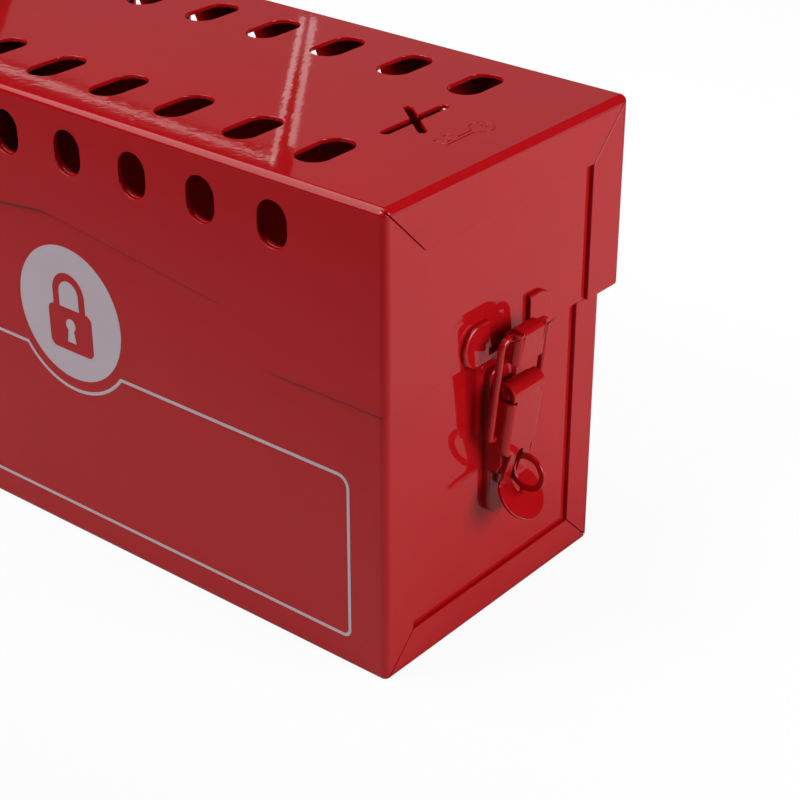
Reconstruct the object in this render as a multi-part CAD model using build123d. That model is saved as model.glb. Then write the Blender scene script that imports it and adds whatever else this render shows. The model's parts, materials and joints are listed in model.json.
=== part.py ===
from build123d import *
from math import cos, radians, sin
import os

# Group lockout box: a folded steel body, a deep lid over it, and a draw latch at each end.
# Millimetres, X along the box, Y from front to back, Z up. The origin is on the ground,
# under the middle of the lid.

# Driving sizes of the box
length = 306.0
depth = 127.6
height = 171.4
sheet = 1.5
fold = 2.6
clearance = 0.3

# Lid: its skirts hang down over the body, and the front one is cut away towards the middle
skirt_drop = 69.2
skirt_low_run = 49.9
skirt_slant_run = 69.5
skirt_slant_rise = 18.0
skirt_middle_rise = 27.8
lid_flange = 19.2
flange_corner = 2.5
mitre_slit = 0.3

# Body: stands one sheet and a clearance inside the lid, and further in at the back
back_step = 8.7
body_flange = 14.4
wall_below_lid = 2.2

# Padlock slots: one row through each long wall, and one row beside it through the lid's top.
# The body's slots are wider than the lid's and end at the same height.
slot_count = 8
slot_pitch = 30.76
slot_width = 12.5
skirt_slot_height = 16.2
body_slot_width = 15.5
body_slot_height = 17.7
wall_slot_foot = 24.8
top_slot_length = 23.0
top_slot_inset = 25.4

# Cross-shaped slot for dropping keys in, and the small key engraved beside it
key_slot_from_end = 40.4
key_slot_long = 33.4
key_slot_long_width = 3.5
key_slot_short = 25.0
key_slot_short_width = 3.0
key_slot_short_turn = -39.0
key_sign_from_end = 19.5
key_sign_bow = 4.4
key_sign_hole = 1.4
key_sign_bow_y = 8.2
key_sign_stem = 15.0
key_sign_stem_width = 2.2
key_sign_bit = 2.4
key_sign_line = 0.5
key_sign_depth = 0.2

# Print on the body's front: a disc with a padlock, over the line of a rounded frame
print_thickness = 0.1
print_middle_x = 7.8
disc_radius = 25.6
disc_drop = 79.3
frame_half_width = 128.4
frame_top_drop = 96.9
frame_bottom_drop = 159.9
frame_line = 1.2
frame_top_corner = 5.0
frame_bottom_corner = 3.5
frame_dip_radius = 30.1

# Latch: distances out from the lid's end panel, across from the latch's middle,
# and up from the lid's top, so that what is below it is negative
latch_y = -1.55
latch_sheet = 1.2
latch_bend = 2.5
wire_radius = 1.25
running_fit = 0.05
pin_radius = 1.5
pin_head_radius = 2.0
pin_head_across = 8.5
pin_out = 7.26
pin_up = -81.6
foot_out = 4.2
foot_up = -98.0
foot_across = 7.85
leg_across = 12.3
bar_out = 8.4
bar_up = -60.5
base_front = 0.8
base_half_width = 7.5
ear_inner = 6.2
ear_outer = 7.4
lever_lean = 7.2
lever_roll = 4.05
lever_opening = 110.0
eye_up = -112.9

# Derived places
end_x = length / 2
front_y = -depth / 2
skirt_z = height - skirt_drop
body_end = end_x - sheet - clearance
body_front = front_y + sheet + clearance
body_back = depth / 2 - back_step
flange_top = skirt_z - clearance
wall_top = height - wall_below_lid
slot_places = [slot_pitch * (i - (slot_count - 1) / 2) for i in range(slot_count)]
past = 1.0


def block(x_low, x_high, y_low, y_high, z_low, z_high):
    """A box between two corners."""
    centre = Pos((x_low + x_high) / 2, (y_low + y_high) / 2, (z_low + z_high) / 2)
    return centre * Box(x_high - x_low, y_high - y_low, z_high - z_low)


def folded_block(half_x, y_low, y_high, z_low, z_high, closed_end, radius):
    """A block rounded at its upright edges and round its closed top or bottom."""
    whole = block(-half_x, half_x, y_low, y_high, z_low, z_high)
    closed_face = whole.faces().sort_by(Axis.Z)[closed_end]
    return fillet(closed_face.edges() + whole.edges().filter_by(Axis.Z), radius)


def mitre_cut(side, corner_y, corner_z, y_way, z_way, run, x_inner):
    """The slit between two end flanges, from the corner of the box to the open window."""
    turn = 45.0 if y_way * z_way > 0 else -45.0
    middle = Pos(side * (x_inner + sheet), corner_y + y_way * run / 2, corner_z + z_way * run / 2)
    return middle * Rot(turn, 0, 0) * Box(2 * sheet, 2 * run, mitre_slit)


def slots_through_walls(slot_height, width):
    """One obround bar per padlock, running from front to back through both long walls."""
    outline = SlotOverall(slot_height, width, rotation=90)
    middle = height - wall_slot_foot + slot_height / 2
    start = Plane.XZ.offset(front_y - past)
    return [extrude(start * Pos(x, middle) * outline, amount=depth + 2 * past) for x in slot_places]


def slots_through_top():
    """The slots in the lid's top, beside the front and the back skirt."""
    outline = SlotOverall(top_slot_length, slot_width, rotation=90)
    start = Plane.XY.offset(height - 2 * sheet)
    rows = (front_y + top_slot_inset, -front_y - top_slot_inset)
    return [extrude(start * Pos(x, y) * outline, amount=3 * sheet) for x in slot_places for y in rows]


def key_slot():
    """Cross of two rounded slots."""
    arms = SlotOverall(key_slot_long, key_slot_long_width, rotation=90)
    arms += SlotOverall(key_slot_short, key_slot_short_width, rotation=key_slot_short_turn)
    start = Plane.XY.offset(height - 2 * sheet)
    return extrude(start * Pos(end_x - key_slot_from_end, 0) * arms, amount=3 * sheet)


def key_sign():
    """Engraved outline of a key: a round bow with a hole, a stem and two bits."""
    key = Pos(0, key_sign_bow_y) * Circle(key_sign_bow)
    stem_low = key_sign_bow_y - key_sign_bow - key_sign_stem
    key += Pos(0, (stem_low + key_sign_bow_y) / 2) * Rectangle(key_sign_stem_width, key_sign_bow_y - stem_low)
    for bit in (0, 2):
        low = stem_low + bit * key_sign_bit
        key += Pos(-key_sign_bit, low + key_sign_bit / 2) * Rectangle(2 * key_sign_bit, key_sign_bit)
    line = key - offset(key, amount=-key_sign_line)
    hole = Pos(0, key_sign_bow_y + key_sign_bow / 3)
    line += hole * (Circle(key_sign_hole) - Circle(key_sign_hole - key_sign_line))
    start = Plane.XY.offset(height - key_sign_depth)
    return extrude(start * Pos(end_x - key_sign_from_end, 0) * line, amount=2 * key_sign_depth)


def skirt_cutaway():
    """What the lower edge of the front skirt leaves open, rising to the middle of the box."""
    low_x = end_x - skirt_low_run
    slant_x = end_x - skirt_slant_run
    slant_z = skirt_z + skirt_slant_rise
    below = skirt_z - past
    outline = Polygon(
        (-low_x, below),
        (low_x, below),
        (low_x, skirt_z),
        (slant_x, slant_z),
        (0, skirt_z + skirt_middle_rise),
        (-slant_x, slant_z),
        (-low_x, skirt_z),
    )
    return extrude(Plane.XZ.offset(-front_y - sheet - clearance / 2) * outline, amount=2 * sheet)


def lid_shell():
    outer = folded_block(end_x, front_y, -front_y, skirt_z, height, -1, fold)
    inner = folded_block(
        end_x - sheet, front_y + sheet, -front_y - sheet, skirt_z - past, height - sheet, -1, fold - sheet
    )
    shell = outer - inner
    window_y = -front_y - lid_flange
    for side in (-1, 1):
        low, high = sorted((side * (end_x - 2 * sheet), side * (end_x + past)))
        shell -= block(low, high, -window_y, window_y, skirt_z - past, height - lid_flange)
        for way in (-1, 1):
            shell -= mitre_cut(side, -way * front_y, height, -way, -1, lid_flange, end_x - sheet)
        corner = block(low, high, -front_y - flange_corner, -front_y + past, skirt_z - past, skirt_z + flange_corner)
        centre = Pos((low + high) / 2, -front_y - flange_corner, skirt_z + flange_corner)
        corner -= centre * Rot(0, 90, 0) * Cylinder(flange_corner, high - low)
        shell -= corner
    shell -= skirt_cutaway()
    for cut in slots_through_walls(skirt_slot_height, slot_width) + slots_through_top():
        shell -= cut
    shell -= key_slot()
    return shell - key_sign()


def lid_end_panel():
    return block(
        end_x - 2 * sheet, end_x - sheet, front_y + fold, -front_y - fold, skirt_z, height - fold
    )


def body_shell():
    outer = folded_block(body_end, body_front, body_back, 0, flange_top, 0, fold)
    inner = folded_block(
        body_end - sheet, body_front + sheet, body_back - sheet, sheet, flange_top + past, 0, fold - sheet
    )
    shell = outer - inner
    for side in (-1, 1):
        low, high = sorted((side * (body_end - 2 * sheet), side * (body_end + past)))
        shell -= block(
            low, high, body_front + body_flange, body_back - body_flange, body_flange, flange_top + past
        )
        for corner_y, way in ((body_front, 1), (body_back, -1)):
            shell -= mitre_cut(side, corner_y, 0, way, 1, body_flange, body_end - sheet)
    wall_half = body_end - fold
    shell += block(-wall_half, wall_half, body_front, body_front + sheet, flange_top - sheet, wall_top)
    shell += block(-wall_half, wall_half, body_back - sheet, body_back, flange_top - sheet, wall_top)
    for cut in slots_through_walls(body_slot_height, body_slot_width):
        shell -= cut
    return shell


def body_end_panel():
    return block(
        body_end - 2 * sheet, body_end - sheet, body_front + fold, body_back - fold, fold, wall_top
    )


def padlock_sign():
    """A plain closed padlock: a body with a keyhole, and a shackle of two legs and a bow."""
    body_width = 22.0
    body_height = 17.0
    body_corner = 3.0
    body_up = -6.5
    shackle_radius = 6.5
    shackle_width = 3.2
    bow_up = 7.5
    keyhole_radius = 2.4
    keyhole_up = 2.0
    keyhole_skirt = (4.4, 5.6, 80)
    shape = Pos(0, body_up) * RectangleRounded(body_width, body_height, body_corner)
    bow = Circle(shackle_radius + shackle_width / 2) - Circle(shackle_radius - shackle_width / 2)
    bow &= Pos(0, shackle_radius) * Rectangle(4 * shackle_radius, 2 * shackle_radius)
    shape += Pos(0, bow_up) * bow
    leg = bow_up - body_up - body_height / 2 + past
    for side in (-1, 1):
        shape += Pos(side * shackle_radius, bow_up - leg / 2) * Rectangle(shackle_width, leg)
    keyhole = Pos(0, body_up + keyhole_up) * Circle(keyhole_radius)
    keyhole += Pos(0, body_up - keyhole_up) * Trapezoid(*keyhole_skirt)
    return shape - keyhole


def front_print():
    disc_z = height - disc_drop
    disc = Pos(0, disc_z) * (Circle(disc_radius) - padlock_sign())
    middle = height - (frame_top_drop + frame_bottom_drop) / 2
    frame_height = frame_bottom_drop - frame_top_drop

    def frame_outline(inset):
        whole = Pos(0, middle) * Rectangle(2 * (frame_half_width - inset), frame_height - 2 * inset)
        rounded = fillet(whole.vertices().sort_by(Axis.Y)[2:], frame_top_corner - inset)
        rounded = fillet(rounded.vertices().sort_by(Axis.Y)[:2], frame_bottom_corner - inset)
        return rounded - Pos(0, disc_z) * Circle(frame_dip_radius - frame_line / 2 + inset)

    line = frame_outline(0) - frame_outline(frame_line)
    start = Plane.XZ.offset(-body_front)
    return extrude(start * Pos(print_middle_x, 0) * (disc + line), amount=print_thickness)


def side_plate(outline, low, high):
    """A plate whose outline is drawn looking along the latch's pin, between two distances across."""
    return extrude(Plane.XZ.offset(-high) * outline, amount=high - low, dir=(0, -1, 0))


def twin_plates(outline, low, high):
    """The same plate on both sides of the latch's middle."""
    return side_plate(outline, low, high) + side_plate(outline, -high, -low)


def end_plate(outline, low, high):
    """A plate whose outline is drawn looking at the box's end, between two distances out."""
    return extrude(Plane.YZ.offset(low) * outline, amount=high - low, dir=(1, 0, 0))


def front_folds(piece, radius):
    """Rounds the two upright edges at a block's front."""
    return fillet(piece.edges().filter_by(Axis.Z).sort_by(Axis.X)[-2:], radius)


def folded_strip(half_width, back, front, low, high):
    """A strip with its face at the front and a cheek folded back at each side."""
    inside = half_width - latch_sheet
    outer = block(back, front, -half_width, half_width, low, high)
    inner = block(back - past, front - latch_sheet, -inside, inside, low - past, high + past)
    return front_folds(outer, latch_bend) - front_folds(inner, latch_bend - latch_sheet)


def sector(reach, from_angle, to_angle):
    """A wedge round the origin, between two angles from straight out."""
    steps = [radians(from_angle + (to_angle - from_angle) * i / 4) for i in range(5)]
    return Polygon((0, 0), *[(reach * cos(a), reach * sin(a)) for a in steps])


def dished(outline_at, back, front):
    """A pressing: its face is one sheet thick, and its rim stands back to the panel."""
    rim_rounding = 0.95
    pressing = end_plate(outline_at(0), back, front)
    rim = pressing.faces().sort_by(Axis.X)[-1].edges()
    pressing = fillet(rim, rim_rounding)
    return pressing - end_plate(outline_at(latch_sheet), back - past, front - latch_sheet)


def keeper():
    """Obround pressing on the lid, open in the middle from the top, with a lip that stands up."""
    across = 1.0
    keeper_width = 48.0
    keeper_height = 15.5
    keeper_up = -62.7
    keeper_front = 1.7
    mouth_half = 11.2
    web_up = -67.8
    lip_half = 4.8
    lip_out = 4.2
    lip_up = -61.7

    def outline(inset):
        return Pos(across, keeper_up) * SlotOverall(keeper_width - 2 * inset, keeper_height - 2 * inset)

    pressing = dished(outline, 0, keeper_front)
    mouth_low = across - mouth_half
    pressing -= block(-past, 2 * keeper_front, mouth_low, mouth_low + 2 * mouth_half, web_up, 0)
    root = (keeper_front, web_up - past)
    lip = Polygon((root[0] - latch_sheet, root[1]), root, (lip_out, lip_up), (lip_out - latch_sheet, lip_up))
    return pressing + side_plate(lip, across - lip_half, across + lip_half)


def latch_base():
    """Long pressing on the body with a round foot, and two ears folded out to hold the pin."""
    base_top = -75.3
    foot_centre = -124.8
    top_corner = 2.5
    ear_out = 5.5
    ear_foot = ((3.5, -112.8), (ear_out, -109.3))
    ear_shoulder = ((ear_out, -90.8), -84.3)
    ear_head = 2.5
    roll_gap = 0.4
    neck = (8.0, 220.0, 257.0)

    def outline(inset):
        half = base_half_width - inset
        top = base_top - inset
        upper = Pos(0, (top + foot_centre) / 2) * Rectangle(2 * half, top - foot_centre)
        upper = fillet(upper.vertices().sort_by(Axis.Y)[2:], top_corner - inset)
        return upper + Pos(0, foot_centre) * Circle(half)

    plate = dished(outline, -sheet - clearance, base_front)
    root = base_front - latch_sheet / 2
    ear = Polygon((root, ear_foot[0][1]), *ear_foot, ear_shoulder[0], (root, ear_shoulder[1]))
    at_pin = Pos(pin_out, pin_up)
    ear -= at_pin * Circle(lever_roll + roll_gap)
    ear += at_pin * (sector(*neck) + Circle(ear_head))
    ear -= at_pin * Circle(pin_radius + running_fit / 2)
    return plate + twin_plates(ear, ear_inner, ear_outer)


def padlock_eye():
    """Ring on a foot welded to the base, standing out through the slot in the lever."""
    eye_out = 11.3
    eye_radius = 7.15
    eye_hole = 5.0
    half_thickness = 0.6
    stem_out = 7.4
    stem_half = (5.0, 4.5)
    foot_size = (8.0, 14.0, 2.0)
    ring = Circle(eye_radius) + Polygon(
        (base_front - eye_out, -stem_half[0]),
        (stem_out - eye_out, -stem_half[1]),
        (stem_out - eye_out, stem_half[1]),
        (base_front - eye_out, stem_half[0]),
    )
    ring = Pos(eye_out, eye_up) * (ring - Circle(eye_hole))
    foot = Pos(0, eye_up) * RectangleRounded(*foot_size)
    return side_plate(ring, -half_thickness, half_thickness) + end_plate(foot, base_front, base_front + latch_sheet)


def lever_pin():
    """Pin with a riveted head outside each ear."""
    head_rounding = 0.65
    shaft = Cylinder(pin_radius, 2 * pin_head_across)
    head = Cylinder(pin_head_radius, pin_head_across - ear_outer)
    head = fillet(head.edges().filter_by(GeomType.CIRCLE).sort_by(Axis.Z)[-1:], head_rounding)
    head = Pos(0, 0, (pin_head_across + ear_outer) / 2) * head
    return Pos(pin_out, 0, pin_up) * Rot(90, 0, 0) * (shaft + head + mirror(head, about=Plane.XY))


def lever():
    """Channel rolled round the pin, narrowing to a tongue that turns out to a round thumb tab."""
    half_width = 9.15
    strip_top = -2.4
    strip_foot = -23.3
    foot_corner = 3.0
    roll_half = 8.4
    roll_skirt = -1.3
    hug_half = 5.85
    roll_start = -2.0
    middle_roll_end = 202.0
    side_roll_end = 111.0
    lobe = 3.0
    lobe_centre = (-0.98, -16.65)
    cheek_back = (-2.6, -3.1, 1.2)
    tongue_half = 5.8
    tongue_foot = (1.85, -35.3)
    tab_turn = radians(47.5)
    tab_radius = 9.8
    tab_run = 6.5
    tongue_bends = (1.5, 3.0)
    eye_slot_width = 3.2
    eye_slot = (-39.6, -23.0)

    inner = lever_roll - latch_sheet
    middle = lever_roll - latch_sheet / 2
    hug = Circle(inner + running_fit) - Circle(pin_radius + running_fit)
    ring = Circle(lever_roll) - Circle(inner)
    reach = 2 * lever_roll
    body = side_plate((ring & sector(reach, roll_start, middle_roll_end)) + hug, -hug_half, hug_half)
    body += twin_plates(ring & sector(reach, roll_start, side_roll_end), hug_half - running_fit, roll_half)
    body += block(inner, lever_roll, -roll_half, roll_half, roll_skirt, running_fit)
    flat_half = half_width - latch_bend
    body += block(inner, lever_roll, -flat_half, flat_half, strip_top - past, running_fit)

    def corner(x, z, radius):
        return (Pos(x, z) * Circle(radius)).edges()

    edge = latch_sheet / 2
    cheek = make_hull(
        corner(middle, strip_top - edge, edge)
        + corner(middle, strip_foot + edge, edge)
        + corner(*lobe_centre, lobe)
        + corner(*cheek_back)
    )
    strip = folded_strip(half_width, -reach, lever_roll, strip_foot, strip_top)
    front = Pos(0, (strip_foot + strip_top) / 2) * Rectangle(2 * half_width, strip_top - strip_foot)
    front = fillet(front.vertices().sort_by(Axis.Y)[:2], foot_corner)
    strip &= end_plate(front, -reach, reach)
    strip &= side_plate(cheek, -half_width, half_width)

    tab_way = (sin(tab_turn), -cos(tab_turn))
    along = [(tongue_foot[0] + run * tab_way[0], tongue_foot[1] + run * tab_way[1]) for run in (tab_run, 3 * tab_run)]
    path = FilletPolyline(
        (middle, strip_foot + past), (middle, strip_foot), tongue_foot, along[1], radius=tongue_bends
    )
    turned_sheet = side_plate(trace(path, latch_sheet), -tab_radius, tab_radius)
    tongue_middle = (strip_foot + tongue_foot[1]) / 2
    tongue = Pos(0, tongue_middle) * Rectangle(2 * tongue_half, strip_foot - tongue_foot[1] + 2 * past)
    tab = Plane(origin=(along[0][0], 0, along[0][1]), x_dir=(0, 1, 0), z_dir=(-tab_way[1], 0, tab_way[0]))
    tab_disc = extrude(tab * Circle(tab_radius), amount=2 * latch_sheet, both=True)
    body += turned_sheet & (end_plate(tongue, 0, reach) + tab_disc)
    slot_length = eye_slot[1] - eye_slot[0]
    slot = Pos(0, sum(eye_slot) / 2) * SlotOverall(slot_length, eye_slot_width, rotation=90)
    body = body + strip - end_plate(slot, 0, 4 * reach)
    body -= side_plate(Pos(*lobe_centre) * Circle(wire_radius + running_fit), -2 * half_width, 2 * half_width)
    return Pos(pin_out, 0, pin_up) * Rot(0, lever_lean, 0) * body


def bail():
    """Wire from one cheek of the lever, up and over the claw, to the other cheek."""
    foot_bend = 1.6
    bar_bend = 2.6
    path = FilletPolyline(
        (foot_out, foot_across, foot_up),
        (foot_out, leg_across, foot_up),
        (bar_out, leg_across, bar_up),
        (bar_out, -leg_across, bar_up),
        (foot_out, -leg_across, foot_up),
        (foot_out, -foot_across, foot_up),
        radius=[foot_bend, bar_bend, bar_bend, foot_bend],
    )
    return sweep((path ^ 0) * Circle(wire_radius), path=path)


def claw():
    """Strip folded over the bail's bar, with cheeks at its sides, that hangs in front of the lip."""
    half_width = 7.95
    lean = 7.0
    roll_half = 5.5
    relief = 0.3
    front = 3.9
    back = -2.0
    shoulder = 1.9
    step = 1.6
    tip = -9.7
    back_foot = -8.2
    top_corner = 1.1
    roll_sweep = 160.0

    middle = wire_radius + running_fit + latch_sheet / 2
    face = front - latch_sheet / 2
    path = FilletPolyline((face, tip / 2), (face, middle), (0, middle), radius=top_corner)
    path += CenterArc((0, 0), middle, 90, roll_sweep)
    roll = side_plate(trace(path, latch_sheet), -roll_half, roll_half)
    strip = folded_strip(half_width, back, front, tip, shoulder)
    opening = roll_half + relief
    strip -= block(2 * back, 2 * front, -opening, opening, middle - top_corner - relief, 2 * shoulder)
    outline = Polygon(
        (back, back_foot),
        (front, tip),
        (front, shoulder),
        (step, shoulder),
        (step, -step),
        (back, -step),
    )
    strip &= side_plate(outline, -half_width, half_width)
    return Pos(bar_out, 0, bar_up) * Rot(0, lean, 0) * (roll + strip)


def at_right(piece):
    return Pos(end_x - sheet, latch_y, height) * piece


def write_node(name, piece):
    export_step(piece, f"parts/{name}.step")


def write_both_ends(name, piece):
    write_node(f"{name}_right", piece)
    write_node(f"{name}_left", mirror(piece, about=Plane.YZ))


os.makedirs("parts", exist_ok=True)
write_node("body_shell", body_shell())
write_node("lid_shell", lid_shell())
write_node("front_print", front_print())
write_both_ends("body_end_panel", body_end_panel())
write_both_ends("lid_end_panel", lid_end_panel())
for latch_piece in (keeper, latch_base, padlock_eye, lever_pin, lever, bail, claw):
    write_both_ends(latch_piece.__name__, at_right(latch_piece()))
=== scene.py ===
import bmesh
import bpy
import json
from math import pi, radians
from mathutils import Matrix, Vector


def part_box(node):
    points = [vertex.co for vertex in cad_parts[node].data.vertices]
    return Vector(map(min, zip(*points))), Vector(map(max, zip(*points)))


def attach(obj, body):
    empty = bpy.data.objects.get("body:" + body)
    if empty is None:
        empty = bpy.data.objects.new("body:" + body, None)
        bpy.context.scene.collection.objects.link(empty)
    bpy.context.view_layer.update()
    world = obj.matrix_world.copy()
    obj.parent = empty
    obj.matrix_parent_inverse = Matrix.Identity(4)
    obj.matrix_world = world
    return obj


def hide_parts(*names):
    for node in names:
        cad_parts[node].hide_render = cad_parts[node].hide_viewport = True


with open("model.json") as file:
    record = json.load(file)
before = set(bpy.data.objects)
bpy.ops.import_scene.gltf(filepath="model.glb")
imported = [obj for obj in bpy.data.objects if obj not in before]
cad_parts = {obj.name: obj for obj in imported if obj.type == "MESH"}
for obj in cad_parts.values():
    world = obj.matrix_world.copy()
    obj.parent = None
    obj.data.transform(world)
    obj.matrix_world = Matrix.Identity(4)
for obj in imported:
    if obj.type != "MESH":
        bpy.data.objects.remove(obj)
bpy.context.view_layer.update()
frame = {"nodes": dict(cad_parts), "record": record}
nodes = frame["nodes"]
bodies = frame["record"]["behaviour"]["bodies"]

# Metres in a millimetre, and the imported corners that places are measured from
MM = 0.001
lid_low, lid_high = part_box("lid_shell")
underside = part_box("body_shell")[0].z

# The photograph's view: where the camera stands from the lid's right front top corner, and how it is turned
view_azimuth = radians(39.33)
view_elevation = radians(28.81)
camera_from_corner = Vector((342.4, -411.1, 232.0)) * MM
focal_pixels = 2002.4
image_pixels = 800
sensor_width = 36.0

# How wide the edges of sheets, latch pieces and print are rounded, in how many steps, and from which angle on
sheet_edge = 0.25 * MM
latch_edge = 0.20 * MM
print_edge = 0.03 * MM
edge_steps = 2
sharp_angle = radians(32)

# The key engraved on the lid: how far it reaches in from the end, to each side and down,
# and the share of the sheet's rounding that its fine lines get
sign_inset = 28 * MM
sign_reach = 13 * MM
sign_depth = 0.3 * MM
sign_share = 0.3

# Loose triangles: how near corners are when they are one, and how level neighbours are when they are one face
merge_distance = 0.002 * MM
level_angle = radians(0.4)

# Paint and ink, as scene-linear colours
red = (0.49, 0.0052, 0.0085, 1)
red_deep = (0.44, 0.0040, 0.0068, 1)
ink = (0.62, 0.53, 0.59, 1)
ink_thin = (0.55, 0.45, 0.51, 1)

# Powder coat: width of its colour clouds, width and height of its orange peel, and the broader swell in it
coat_cloud = 35 * MM
sheet_peel = 1.9 * MM
latch_peel = 1.3 * MM
peel_height = 0.0035 * MM
swell_width_ratio = 2.6
swell_height_ratio = 1.4
coat_gloss_floor = 0.012

# Print: width of its grain and of its clouds, and the height of the grain
ink_grain = 0.9 * MM
ink_cloud = 14 * MM
ink_height = 0.008 * MM

# The studio behind the box, which the lid's top mirrors: its middle, and directions across, up and to the box
studio_middle = Vector((-0.944, 1.152, 0.991))
studio_across = Vector((0.7735, 0.6337, 0.0))
studio_up = Vector((0.3054, -0.3728, 0.8762))
studio_near = Vector((0.5553, -0.6778, -0.4819))

# Surroundings: the dim room in the gloss, and the floor, whose colour is painted shade: darker in front of
# the box than behind it, standing in for less light falling on the floor in front
room_brightness = 0.02
floor_size = 12
floor_gap = 0.2 * MM
# Painted shade on the floor: its colour in front of the box and behind it, how fast it changes and where
# between them it stands
floor_shaded_front = (0.15, 0.15, 0.15, 1)
floor_lit_back = (0.66, 0.66, 0.66, 1)
floor_shade_change_per_metre = 2.2
floor_shade_share_at_middle = 0.75
floor_glow = 1.09
floor_glow_share = 0.85


class Wire:
    """A shader value that can be reckoned with in plain expressions."""

    def __init__(self, tree, socket):
        self.tree = tree
        self.socket = socket

    def reckon(self, operation, other):
        return node(self.tree, "ShaderNodeMath", {"operation": operation}, {0: self, 1: other})

    def __add__(self, other):
        return self.reckon("ADD", other)

    __radd__ = __add__

    def __mul__(self, other):
        return self.reckon("MULTIPLY", other)

    __rmul__ = __mul__


def node(tree, kind, settings, inputs, output=0):
    """Adds one shader node, sets it up and returns one of its outputs, if it has any."""
    made = tree.nodes.new(kind)
    for name, value in settings.items():
        setattr(made, name, value)
    for key, value in inputs.items():
        if isinstance(value, Wire):
            tree.links.new(value.socket, made.inputs[key])
        else:
            made.inputs[key].default_value = value
    return Wire(tree, made.outputs[output]) if made.outputs else None


def new_tree(owner):
    """An empty shader tree for a material or a world."""
    owner.use_nodes = True
    owner.node_tree.nodes.clear()
    return owner.node_tree


def between(tree, factor, first, second):
    """A colour between two others."""
    return node(tree, "ShaderNodeMix", {"data_type": "RGBA"}, {0: factor, 6: first, 7: second}, 2)


def place_on_object(tree):
    return node(tree, "ShaderNodeTexCoord", {}, {}, "Object")


def camera_sees(tree):
    """1 for what the camera looks at straight, and 0 for what lights or mirrors."""
    return node(tree, "ShaderNodeLightPath", {}, {}, "Is Camera Ray")


def noise(tree, size, detail=2.0):
    """Smooth noise on the object, with features about size metres wide."""
    inputs = {"Vector": place_on_object(tree), "Scale": 1 / size, "Detail": detail}
    return node(tree, "ShaderNodeTexNoise", {}, inputs)


def finish(name, make_inputs):
    """A material with one coat, whose inputs a function makes in its tree."""
    material = bpy.data.materials.new(name)
    tree = new_tree(material)
    coat = node(tree, "ShaderNodeBsdfPrincipled", {}, make_inputs(tree))
    node(tree, "ShaderNodeOutputMaterial", {}, {"Surface": coat})
    return material


def powder_coat(tree, peel_size):
    """Glossy red powder coat: nearly even colour, orange peel and a few fine pores."""
    cloud = noise(tree, coat_cloud)
    swell = noise(tree, peel_size * swell_width_ratio, 1.0)
    peel = noise(tree, peel_size, 1.0) + swell * swell_height_ratio
    fine = noise(tree, peel_size / 4, 1.0)
    return {
        "Base Color": between(tree, cloud * 0.8 + fine * 0.2, red_deep, red),
        "Roughness": fine * 0.02 + cloud * 0.015 + coat_gloss_floor,
        "Normal": node(tree, "ShaderNodeBump", {}, {"Height": peel, "Distance": peel_height}),
        "IOR": 1.5,
    }


def screen_ink(tree):
    """Thin pale ink, slightly grainy, with a breath of the coat under it."""
    grain = noise(tree, ink_grain, 3.0)
    cloud = noise(tree, ink_cloud)
    return {
        "Base Color": between(tree, cloud * 0.6 + grain * 0.4, ink_thin, ink),
        "Roughness": grain * 0.1 + 0.3,
        "Normal": node(tree, "ShaderNodeBump", {}, {"Height": grain, "Distance": ink_height}),
        "IOR": 1.45,
    }


def on_sign(vertex):
    """Whether a vertex belongs to the fine lines of the key on the lid."""
    across = vertex.co.x > lid_high.x - sign_inset and abs(vertex.co.y) < sign_reach
    return across and vertex.co.z > lid_high.z - sign_depth


def weigh_edges(form):
    """Marks the edges to soften: those of the engraved key less than the others."""
    weight = form.edges.layers.float.new("bevel_weight_edge")
    for edge in form.edges:
        if edge.is_manifold and edge.calc_face_angle() > sharp_angle:
            edge[weight] = sign_share if all(on_sign(vertex) for vertex in edge.verts) else 1


def rounded_copy(name, material, edge):
    """Stands a copy with softened edges in for a CAD node."""
    form = bmesh.new()
    form.from_mesh(nodes[name].data)
    bmesh.ops.remove_doubles(form, verts=form.verts, dist=merge_distance)
    bmesh.ops.dissolve_limit(form, angle_limit=level_angle, verts=form.verts, edges=form.edges)
    weigh_edges(form)
    mesh = bpy.data.meshes.new(f"{name}_rounded")
    form.to_mesh(mesh)
    form.free()
    mesh.shade_smooth()
    mesh.materials.append(material)
    piece = bpy.data.objects.new(f"{name}_rounded", mesh)
    bpy.context.collection.objects.link(piece)
    bevel = piece.modifiers.new("bevel", "BEVEL")
    bevel.width = edge
    bevel.segments = edge_steps
    bevel.limit_method = "WEIGHT"
    bevel.use_clamp_overlap = False
    weighted = piece.modifiers.new("normals", "WEIGHTED_NORMAL")
    weighted.weight = 100
    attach(piece, next(body for body, carried in bodies.items() if name in carried))
    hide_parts(name)


def dress_box():
    """Gives every node its coat and its softened edges."""
    sheet_coat = finish("sheet_powder_coat", lambda tree: powder_coat(tree, sheet_peel))
    latch_coat = finish("latch_powder_coat", lambda tree: powder_coat(tree, latch_peel))
    front_ink = finish("front_screen_ink", screen_ink)
    for name in list(nodes):
        if name == "front_print":
            rounded_copy(name, front_ink, print_edge)
        elif "shell" in name or "panel" in name:
            rounded_copy(name, sheet_coat, sheet_edge)
        else:
            rounded_copy(name, latch_coat, latch_edge)


def stand_camera():
    data = bpy.data.cameras.new("camera")
    data.sensor_width = sensor_width
    data.lens = focal_pixels / image_pixels * sensor_width
    data.clip_start = 0.01
    data.clip_end = 20
    camera = bpy.data.objects.new("camera", data)
    camera.location = Vector((lid_high.x, lid_low.y, lid_high.z)) + camera_from_corner
    camera.rotation_euler = (radians(90) - view_elevation, 0, view_azimuth)
    bpy.context.collection.objects.link(camera)
    bpy.context.scene.camera = camera


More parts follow.
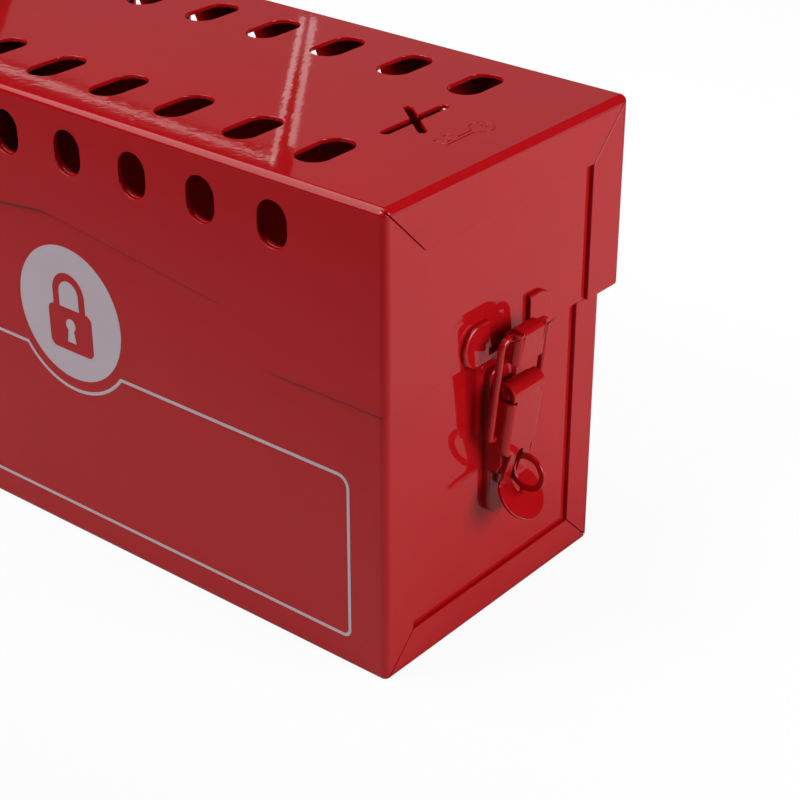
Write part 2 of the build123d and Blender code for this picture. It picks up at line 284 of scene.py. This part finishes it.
def hang_lamp(name, place, width, height, brightness, aim=(0, 0, 0.1), turn=0.0):
    """A rectangular lamp that faces aim and shows its brightness in the gloss."""
    data = bpy.data.lights.new(name, "AREA")
    data.shape = "RECTANGLE"
    data.size = width
    data.size_y = height
    data.energy = brightness * pi * width * height
    lamp = bpy.data.objects.new(name, data)
    lamp.location = place
    lamp.rotation_euler = (Vector(aim) - Vector(place)).to_track_quat("-Z", "Y").to_euler()
    lamp.rotation_euler.rotate_axis("Z", radians(turn))
    lamp.visible_camera = False
    bpy.context.collection.objects.link(lamp)


def hang_card(name, across, up, near, width, height, brightness, turn):
    """A lamp in the mirrored studio, square to the view."""
    place = studio_middle + across * studio_across + up * studio_up + near * studio_near
    hang_lamp(name, place, width, height, brightness, aim=place + studio_near, turn=turn)


def light_studio():
    """Soft lamps round the box, and the pale fields and thin tubes that the lid's top mirrors."""
    hang_lamp("lamp_arch", (-0.72, -0.45, 1.07), 2.2, 0.65, 2.1, turn=-40)
    hang_lamp("lamp_front", (-0.25, -1.0, 1.1), 0.8, 0.6, 6.9)
    hang_lamp("lamp_top", (0.0, -0.05, 1.6), 0.8, 0.6, 2.1)
    hang_lamp("lamp_end", (1.35, 0.36, 0.48), 0.8, 0.8, 7.4)
    hang_card("card_right", 0.213, -0.203, 0, 0.5, 0.45, 0.21, turn=-8.6)
    hang_card("card_inner", -0.200, -0.353, 0, 0.35, 0.25, 0.17, turn=-18.8)
    hang_card("streak_right", -0.034, -0.254, 0.02, 0.008, 0.155, 1.1, turn=-10)
    hang_card("streak_left", -0.052, -0.244, 0.02, 0.007, 0.178, 1.1, turn=-12)
    hang_card("streak_level", -0.233, -0.2175, 0.02, 0.35, 0.005, 1.3, turn=-18.8)


def set_world():
    """White to the camera, and dim to everything else."""
    world = bpy.data.worlds.new("studio")
    bpy.context.scene.world = world
    tree = new_tree(world)
    dim = node(tree, "ShaderNodeBackground", {}, {"Strength": room_brightness})
    white = node(tree, "ShaderNodeBackground", {}, {"Strength": 1.0})
    sky = node(tree, "ShaderNodeMixShader", {}, {0: camera_sees(tree), 1: dim, 2: white})
    node(tree, "ShaderNodeOutputWorld", {}, {"Surface": sky})


def lay_floor():
    """Pale floor that shows white to the camera and keeps a breath of the box's shadow; to lamps and in the
    gloss its colour carries painted shade, darker in front of the box than behind.
    """
    bpy.ops.mesh.primitive_plane_add(size=floor_size, location=(0, 0, underside - floor_gap))
    floor = bpy.context.object
    floor.name = "floor"
    material = bpy.data.materials.new("floor_white")
    tree = new_tree(material)
    to_back = node(tree, "ShaderNodeSeparateXYZ", {}, {0: place_on_object(tree)}, "Y")
    # Painted shade: the floor's colour darkens towards the front of the box, in place of the light falling
    # off there
    pale = between(tree, to_back * floor_shade_change_per_metre + floor_shade_share_at_middle, floor_shaded_front, floor_lit_back)
    matt = node(tree, "ShaderNodeBsdfDiffuse", {}, {"Color": pale})
    glow = node(tree, "ShaderNodeEmission", {}, {"Strength": floor_glow})
    both = node(tree, "ShaderNodeMixShader", {}, {0: camera_sees(tree) * floor_glow_share, 1: matt, 2: glow})
    node(tree, "ShaderNodeOutputMaterial", {}, {"Surface": both})
    floor.data.materials.append(material)


stand_camera()
dress_box()
light_studio()
set_world()
lay_floor()
bpy.context.scene.view_settings.view_transform = "Standard"
